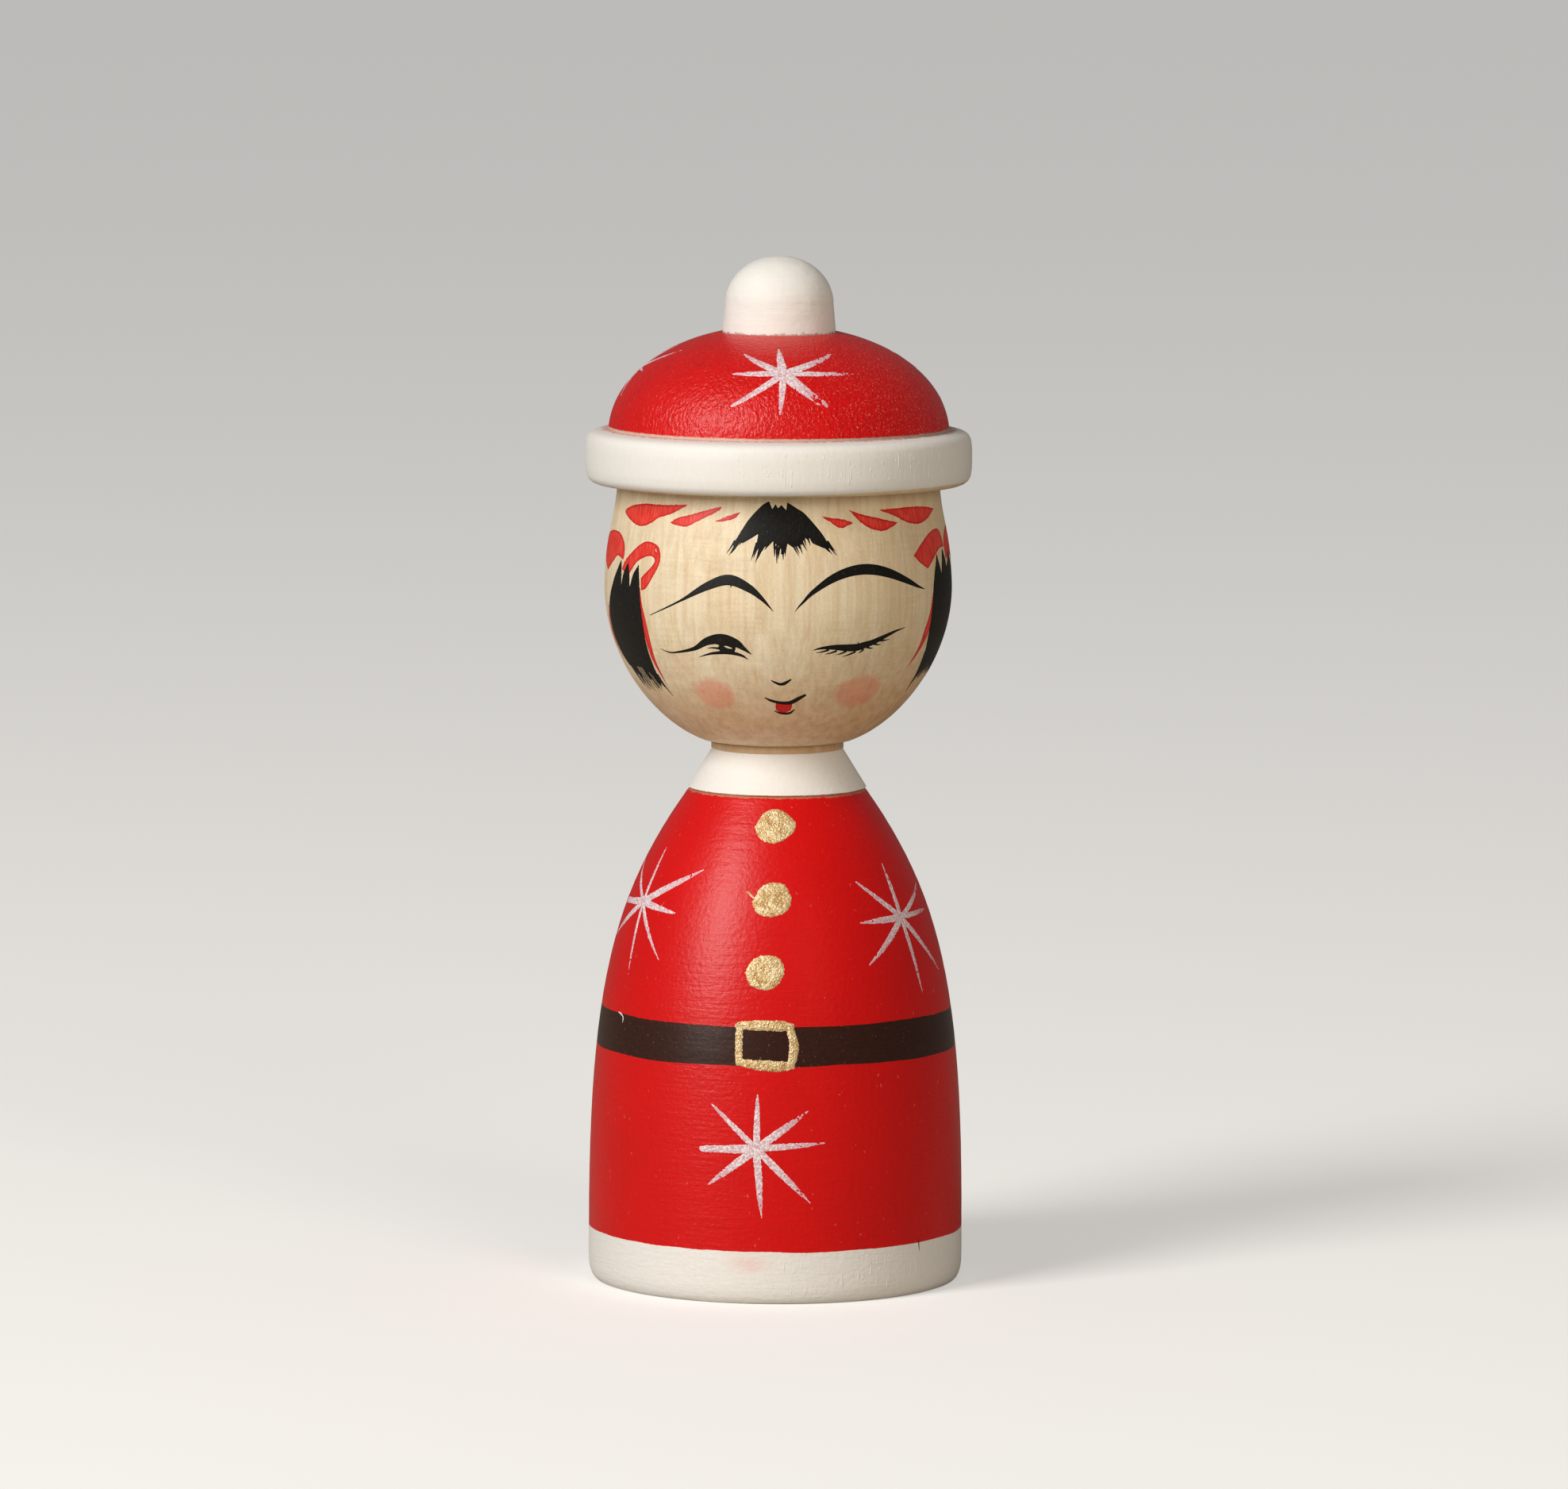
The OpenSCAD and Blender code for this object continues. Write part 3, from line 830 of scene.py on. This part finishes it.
def petals():
    left = Patch(face, (-70.5, -11.5), (89, 94.1), cell=0.07, seed=9)
    left.area(
        [(-43.6, 92.75), (-54.6, 92.65), (-63.6, 92.15), (-68, 91.4), (-61.5, 90.45), (-55.5, 90),
         (-50, 90.45), (-46, 91.2), (-39.6, 91.85), (-33, 93)],
    )
    left.area(
        [(-36.9, 91.4), (-30.6, 91.95), (-24.7, 92.55), (-19.5, 93)],
        [(-21.9, 92.3), (-29.9, 90.95), (-34.1, 90.4), (-40.5, 90.75)],
    )
    left.area([(-20.3, 91.5), (-17.4, 91.9), (-12.9, 92.4)], [(-15.4, 91.6), (-20.1, 91.2), (-23, 91.15)])
    left.rough(0.045, 0.24).solid("petals_left", INK)
    right = Patch(face, (13.5, 72.5), (89.1, 94), cell=0.07, seed=10)
    right.area([(18.6, 91.7), (22.7, 91.5), (26.9, 91.05)], [(22, 90.5), (19, 91), (15.1, 91.9)])
    right.area(
        [(29.7, 92.05), (36.3, 91.5), (45.6, 90.8)],
        [(41.9, 90.25), (37.8, 89.95), (33.5, 90.3), (29.4, 91.15), (25, 92.6)],
    )
    right.area(
        [(44.8, 92.45), (53.9, 92.45), (63, 92.25), (70.7, 91.85)],
        [(65, 91), (60.3, 90.55), (55.6, 90.4), (49.8, 90.8), (45.1, 91.5), (37.5, 92.4)],
    )
    right.rough(0.045, 0.24).solid("petals_right", INK)


def ribbons():
    left = Patch(face, (-95.5, -41.5), (81.7, 89.7), cell=0.08, seed=11)
    left.area(
        [(-86, 85.45), (-91, 87.1), (-85, 88.45), (-76.5, 89), (-69, 88.85), (-64.3, 87.9), (-63, 86.7),
         (-63.4, 85.9)],
        [(-68.2, 86.25), (-71.5, 85.6), (-78.1, 84.25)],
    )
    left.area(
        [(-60.9, 86.15), (-52.8, 88.1), (-48.2, 88.35), (-44.3, 87.9), (-42.9, 86.9), (-43.5, 85.6),
         (-48.3, 83.15), (-51.4, 82.6)],
        [(-51.6, 84.1)],
        [(-46.9, 85.45), (-45.2, 86.3), (-47.4, 86.75), (-51.1, 86.45), (-55, 85.7), (-59, 84.15)],
        [(-63.9, 84.8)],
    )
    left.stroke((-45.4, 87.6, 0.06), (-45, 87.3, 0.07), cut=True)
    left.rough(0.02, 0.3).solid("ribbon_left", INK)
    right = Patch(face, (49.5, 102.5), (83.3, 90.2), cell=0.08, seed=12)
    right.area(
        [(57.2, 88.2), (62.9, 89.15), (69.2, 89.55), (73.1, 89.05), (75, 87.3)],
        [(70.1, 87.25), (66.4, 86.7), (63.1, 86), (59.4, 85.15)], [(55, 85.9), (51.6, 86.85)],
    )
    right.area(
        [(75.5, 87.5), (77.8, 88.65), (84, 89.4), (92, 89.4), (98, 88.4), (100, 86.45), (95, 84.45)],
        [(88, 85.7), (81, 86.2), (75.8, 85.8)],
    )
    right.rough(0.02, 0.3).solid("ribbon_right", INK)
    cords = Patch(face, (-84.5, -45.5), (70.3, 84.1), tall=1.6, seed=13)
    cords.stroke(
        (-52.2, 82.9, 0.1), (-51.4, 80.9, 0.2), (-50.6, 78.9, 0.36), (-50.3, 76.7, 0.42),
        (-50.1, 74.55, 0.3), (-49, 72.75, 0.13), (-48.1, 71.35, 0.02),
    )
    cords.stroke(
        (-77.3, 80.15, 0.1), (-79.8, 78, 0.35), (-80, 76.4, 0.4), (-77.6, 74.7, 0.12), (-76.2, 73.75, 0.02),
    )
    cords.solid("ribbon_ends_left", INK)
    cord = Patch(face, (52.5, 64.5), (72.7, 83), tall=1.4, seed=14)
    cord.stroke(
        (62.5, 82.2, 0.1), (61.9, 79.7, 0.4), (60.7, 77.7, 0.6), (58.9, 75.85, 0.34), (54.9, 73.35, 0.02),
    )
    cord.solid("ribbon_end_right", INK)


def dry_streaks(patch, start, end, lean, count, seed, hollow=0.0):
    """Thin broken streaks below a brush stroke that ran dry between start and end.

    lean is degrees round per mm down, and hollow shortens the streaks in the middle of the row."""
    draw = np.random.default_rng(seed)
    for share in (np.arange(count) + 0.5) / count:
        turn = start[0] + (end[0] - start[0]) * share + draw.uniform(-0.3, 0.3)
        z = start[1] + (end[1] - start[1]) * share
        long = draw.uniform(1.0, 3.3) * (1 - 0.45 * share) * (1 - hollow * (1 - abs(2 * share - 1)))
        half = draw.uniform(0.05, 0.11)
        foot = (turn + lean * long, z - long)
        middle = (turn + lean * long * 0.5, z - 0.5 * long, half)
        patch.stroke((turn - 2 * lean, z + 2, half), middle, (*foot, 0.0))
        gap = draw.uniform(0.3, 0.9)
        near = (turn + 0.5 + lean * 0.15, z - 0.15, 0.03)
        far = (turn + 0.5 + lean * gap * long, z - gap * long, draw.uniform(0.04, 0.08))
        patch.stroke((turn + 0.5 - lean * 0.6, z + 0.6, 0.0), near, far, cut=True)


def side_hair():
    left = Patch(face, (-81.5, -45.5), (68.5, 86.5), cell=0.07, tall=1.5, seed=15)
    left.area(
        [(-70.6, 83.2), (-76.6, 79.95), (-78.3, 77), (-76, 74.7), (-72.6, 73.4), (-70, 73.1)],
        [(-65.5, 73.3), (-59, 73.2), (-55.6, 72.6), (-53.2, 72.1), (-50.9, 71.5)],
        [(-51.4, 72.6), (-51.8, 75.5), (-51.4, 79.3), (-52.1, 82.8), (-53.2, 85.6)],
        [(-56, 84.4), (-57.9, 82.85)], [(-58.4, 84.35), (-59.6, 85.75)], [(-62.3, 84.4), (-63.8, 82.8)],
        [(-63.9, 84.5), (-64.6, 85.9)],
    )
    left.rough(0.03, 0.25)
    dry_streaks(left, (-71, 73.4), (-51.6, 72.2), 1.5, 26, 61)
    left.stroke((-51.2, 72.6, 0.16), (-50.2, 71.5, 0.12), (-49.2, 70.8, 0.08), (-48.1, 70.1, 0.03))
    left.solid("side_hair_left", BLACK, lift=OVER)
    right = Patch(face, (59.5, 95.5), (68.6, 87.8), cell=0.07, tall=1.5, seed=16)
    right.area(
        [(63.2, 83.7), (62.2, 80.8), (62.6, 77.6), (64.2, 75.2), (65, 74)],
        [(68, 73.9), (73, 73.6), (79, 73.5), (84.5, 73.4)],
        [(89, 75), (92, 77.15), (90, 81.1), (84.5, 84.85), (80, 86.85)], [(77.8, 85.55), (75.8, 84.9)],
        [(74.3, 86.2), (72.4, 87.15)], [(71, 85.85), (69.8, 84.25)], [(67.9, 85.65), (66.5, 86.7)],
    )
    right.rough(0.03, 0.25)
    dry_streaks(right, (67, 74), (86.5, 73.9), -0.6, 40, 62, hollow=0.2)
    right.stroke(
        (65.6, 75, 0.6), (65.8, 73.2, 0.45), (65.7, 72.2, 0.3), (64.9, 71.4, 0.14), (64.9, 70.4, 0.03),
    )
    right.stroke((86.3, 75, 0.4), (85.6, 73.2, 0.38), (85, 72.2, 0.2), (84.4, 71.6, 0.03))
    right.solid("side_hair_right", BLACK, lift=OVER)


def framed_patch(skin, turns, heights, spare, above, cell, seed):
    """A patch round the places, with spare degrees left and right, and above mm up and down."""
    across = (min(turns) - spare[0], max(turns) + spare[1])
    return Patch(skin, across, (min(heights) - above, max(heights) + above), cell=cell, seed=seed)


def star(name, skin, centre, arms, seed):
    """Brush strokes from a centre to tips: degrees, height, half width, how dry and how blunt from 0 to 1."""
    turns, heights = zip(*(arm[:2] for arm in arms))
    patch = framed_patch(skin, turns, heights, (3, 3), 0.6, 0.065, seed)
    for turn, z, half, dry, blunt in arms:
        profile = [  # how far along the arm, its width there, and how dry the brush is
            (0, 0.9, 0.15),
            (0.3, 0.95, 0.15),
            (0.62, 0.76, 0.22 + 0.4 * dry),
            (0.85, 0.42 + 0.45 * blunt, 0.35 + 0.55 * dry),
            (1, 0.1 + 0.7 * blunt, dry),
        ]
        patch.stroke(*[
            (centre[0] + (turn - centre[0]) * far, centre[1] + (z - centre[1]) * far, wide * half, parched)
            for far, wide, parched in profile
        ], edge=0.05)
    u, v = patch.sheet[..., 0], patch.sheet[..., 1]
    crumbs = 0.5 * blotches(u / 0.3, v / 0.3, seed + 7) + 0.5 * blotches(u / 0.16, v / 0.16, seed + 8)
    patch.field = np.minimum(patch.field, 0.16 * (0.95 + crumbs - patch.dry))
    patch.solid("star_" + name, SNOW, thick=0.022, soft=0.1, grit=0.010)


def shifted(arms, turn, up):
    """The same arms moved round and up, for a star on a side that the photograph doesn't show."""
    return [(a + turn, z + up, *rest) for a, z, *rest in arms]


def stars():
    chest = (54.7, 44.15)
    chest_arms = [
        (54, 50.35, 0.36, 0.5, 0), (35.2, 48.6, 0.36, 0.4, 0.1), (33, 44, 0.42, 0.5, 0),
        (34.3, 39.2, 0.42, 0.4, 0), (58.2, 35.3, 0.34, 0.5, 0), (75.2, 37.25, 0.38, 0.5, 0),
        (77.6, 44.35, 0.32, 0.4, 0), (80.5, 47.35, 0.32, 0.4, 0),
    ]
    skirt = (-5.8, 18.35)
    skirt_arms = [
        (-5.6, 24.6, 0.4, 0.2, 0.15), (10.1, 22.75, 0.48, 0.85, 0), (15.1, 18.95, 0.4, 0.5, 0),
        (10.7, 12, 0.44, 0.4, 0), (-4.1, 10.3, 0.46, 0.3, 0), (-20.6, 14, 0.5, 0.5, 0.1),
        (-22.9, 18.1, 0.54, 0, 0.75), (-20, 23.35, 0.36, 0.2, 0.2),
    ]
    crown = (1.9, 108.25)
    crown_arms = [
        (-0.2, 110.7, 0.52, 0.1, 0.1), (-19, 110.2, 0.52, 0.4, 0), (-20, 108.1, 0.5, 0.1, 0.1),
        (-16.8, 104.6, 0.46, 0.2, 0.3), (0.4, 103.75, 0.42, 0.3, 0.1), (16.6, 104.7, 0.74, 1, 0.6),
        (35, 108.05, 0.42, 0.9, 0), (28.3, 110.15, 0.54, 0.7, 0.3),
    ]
    star("chest_left", coat, (-64.3, 45.5), [
        (-88, 49.9, 0.27, 0.4, 0), (-63.9, 51.8, 0.28, 0.4, 0), (-33.7, 49.9, 0.48, 0.5, 0),
        (-42.5, 44.8, 0.42, 0.1, 0.2), (-45.4, 39.35, 0.3, 0.3, 0), (-61.3, 37.1, 0.26, 0.5, 0),
        (-86.3, 40.8, 0.44, 0.5, 0), (-84.5, 45, 0.46, 0, 1),
    ], 40)
    star("chest_right", coat, chest, chest_arms, 50)
    star("skirt_front", coat, skirt, skirt_arms, 60)
    star("hat_front", dome, crown, crown_arms, 70)
    star("hat_left", dome, (-91, 107.8), [
        (-88, 110.4, 0.4, 0.3, 0), (-108, 110.2, 0.46, 0.4, 0), (-113, 107.4, 0.44, 0.2, 0.1),
        (-107, 104.4, 0.42, 0.3, 0.2), (-92, 103.4, 0.36, 0.3, 0), (-80.5, 104.6, 0.26, 0.6, 0),
        (-78, 107.6, 0.22, 0.6, 0), (-65.5, 110.2, 0.28, 0.7, 0),
    ], 80)
    star("hat_right", dome, (110, 108.4), shifted(crown_arms[::-1], 108.1, -0.4), 90)
    star("hat_back", dome, (-168, 108.6), shifted(crown_arms, -169.9, -0.2), 100)
    star("back", coat, (176, 44.6), shifted(chest_arms, 120.8, 0.4), 110)
    star("skirt_right", coat, (112, 17.6), shifted(skirt_arms, 117.9, -0.8), 120)
    star("skirt_left", coat, (-128, 18.8), shifted(skirt_arms, -122.1, 0.4), 130)


def buttons():
    outlines = {
        "button_top": [
            (-7.7, 56.4), (-1.3, 56.9), (6, 56.4), (10.4, 55.1), (4.6, 53.65), (-2.6, 53.15), (-9, 53.75),
            (-11.9, 54.9),
        ],
        "button_middle": [
            (-6.1, 48.35), (-0.8, 48.85), (4, 48.35), (5.8, 46.85), (3.5, 45.55), (-2.2, 45), (-7.6, 45.45),
            (-9.8, 46.65),
        ],
        "button_low": [
            (-8.4, 40.05), (-4.5, 40.65), (0.8, 40.35), (2.8, 38.95), (0.6, 37.35), (-3.4, 36.7),
            (-8.4, 37.15), (-10.7, 38.65),
        ],
    }
    for seed, (name, outline_points) in enumerate(outlines.items(), 20):
        patch = framed_patch(coat, *zip(*outline_points), (3, 2), 0.5, 0.06, seed)
        patch.area(outline_points)
        patch.rough(0.07, 0.28)
        if name == "button_middle":
            patch.stroke((-11.9, 47.75, 0.12), (-9.4, 47.15, 0.13))  # where the brush came off
        patch.solid(name, GOLD, thick=0.09, soft=0.4, grit=0.045)


def buckle():
    patch = Patch(coat, (-15.5, 8.5), (26.6, 33.9), seed=24)
    patch.stroke(
        (-13.5, 32.5, 0.06), (-11.4, 32.6, 0.45), (-5, 32.65, 0.58), (1.3, 32.6, 0.62), (4.9, 32.5, 0.42),
    )
    patch.stroke((4.6, 32.3, 0.42), (5.4, 31.1, 0.5), (5.8, 30.1, 0.55), (5.3, 28.8, 0.5), (4.4, 28, 0.42))
    patch.stroke((5.2, 28, 0.35), (1.3, 27.95, 0.62), (-4.9, 28.05, 0.6), (-11.2, 28.3, 0.4))
    patch.stroke((-11.8, 32.2, 0.42), (-11.9, 30.2, 0.44), (-11.7, 28.4, 0.44))
    patch.rough(0.06, 0.26).solid("buckle", GOLD, thick=0.10, soft=0.35, grit=0.05)


def runs(name, skin, turns, heights, count, seed):
    """Thin runs of white paint that dried as it ran down, some of them only short dabs."""
    patch = Patch(skin, turns, heights, tall=1.6, seed=seed)
    draw = np.random.default_rng(seed)
    low, high = heights
    for _ in range(count):
        turn = draw.uniform(turns[0] + 1, turns[1] - 1)
        top = draw.uniform(low + 0.25 * (high - low), high - 0.3)
        long = draw.choice([0.12, 0.4, 0.9, 1.8], p=[0.35, 0.3, 0.2, 0.15]) * draw.uniform(0.8, 1.3)
        foot = max(top - long, low + 0.3)
        half = draw.uniform(0.045, 0.085)
        middle = (turn + draw.uniform(-0.1, 0.1), (top + foot) / 2, 0.8 * half)
        patch.stroke((turn, top, 0.03), middle, (turn, foot, half))
    patch.solid(name, DRIP, thick=0.035, soft=0.10)


def flecks():
    """A fleck of white on the belt's upper edge, and a scratch through the hem's white."""
    fleck = Patch(coat, (-66, -55), (30.8, 33.4), cell=0.05, seed=34)
    fleck.stroke((-63.6, 32.6, 0.06), (-62.2, 32.5, 0.09), (-60.6, 32.3, 0.07))
    fleck.stroke((-60.6, 32.3, 0.07), (-60.0, 32.0, 0.08), (-60.0, 31.5, 0.03))
    fleck.solid("fleck_belt", DRIP, thick=0.02, soft=0.08)
    scratch = Patch(coat, (47, 53), (4.6, 7.2), cell=0.05, seed=35)
    scratch.stroke((49.6, 6.7, 0.03), (49.7, 6.0, 0.08), (49.9, 5.2, 0.02))
    scratch.solid("scratch_hem", BLACK, thick=0.004)


bangs()
brows()
eyes()
nose_and_mouth()
petals()
ribbons()
side_hair()
stars()
buttons()
buckle()
runs("paint_runs_brim", brim, (-14, 66), (95.0, 99.9), 80, 33)
runs("paint_runs_hem", coat, (-5, 58), (1.2, 5.8), 60, 32)
flecks()


# ---- camera and studio

CAMERA_PLACE = (0.00078, -1.15, 0.1893)
CAMERA_DIP = radians(6.254)  # how far it looks down
CAMERA_ROLL = radians(0.27)
CAMERA_LENS = 225.09  # mm, on a sensor 36 mm wide
AMBIENT = 0.145  # strength of the light from all round
FLOOR_GLOW = 0.40  # what the camera sees more of the floor than its lit colour


def camera():
    data = bpy.data.cameras.new("camera")
    data.sensor_width = 36
    data.lens = CAMERA_LENS
    data.clip_end = 20
    eye = placed("camera", data)
    eye.location = CAMERA_PLACE
    eye.rotation_euler = Euler((pi / 2 - CAMERA_DIP, 0, 0))
    eye.rotation_euler.rotate_axis("Z", CAMERA_ROLL)
    bpy.context.scene.camera = eye


def lamp(name, place, aim, size, watts, colour, mirrored=True):
    """A soft rectangular lamp: place, aim and size in metres. Only a mirrored one leaves highlights."""
    data = bpy.data.lights.new(name, "AREA")
    data.shape = "RECTANGLE"
    data.size, data.size_y = size
    data.energy = watts
    data.color = colour
    light = placed(name, data)
    light.visible_glossy = mirrored
    light.location = place
    light.rotation_euler = (Vector(aim) - Vector(place)).to_track_quat("-Z", "Y").to_euler()


def studio():
    world = bpy.data.worlds.new("studio")
    world.use_nodes = True
    ambient = world.node_tree.nodes["Background"]
    ambient.inputs["Color"].default_value = (1.0, 0.985, 0.965, 1)
    ambient.inputs["Strength"].default_value = AMBIENT
    bpy.context.scene.world = world
    ground = Paint("studio_floor")  # paler to the camera than to the light it throws back on the doll
    seen = ground.add("ShaderNodeLightPath").outputs["Is Camera Ray"]
    colour = ground.mix(seen, srgb(168, 160, 147), srgb(212, 209, 204))
    colour = ground.shade(colour, ground.times(ground.noise(0.02), 0.02))
    glow = ground.times(seen, FLOOR_GLOW)
    ground.set(colour, 0.9, Emission_Color=(1.0, 0.99, 0.97), Emission_Strength=glow)
    corners = [(-4, -4, 0), (4, -4, 0), (4, 12, 0), (-4, 12, 0)]
    floor = mesh_piece("floor", corners, [(0, 1, 2, 3)], ground.material)
    lamp("key", (-0.89, -0.84, 0.80), (0, 0, 0.06), (0.50, 0.95), 17.9, (1.0, 0.99, 0.975))
    lamp("fill", (0.62, -1.22, 0.55), (0, 0, 0.06), (0.60, 0.60), 6.5, (1.0, 0.90, 0.77), False)
    bpy.context.scene.view_settings.view_transform = "Standard"


camera()
studio()
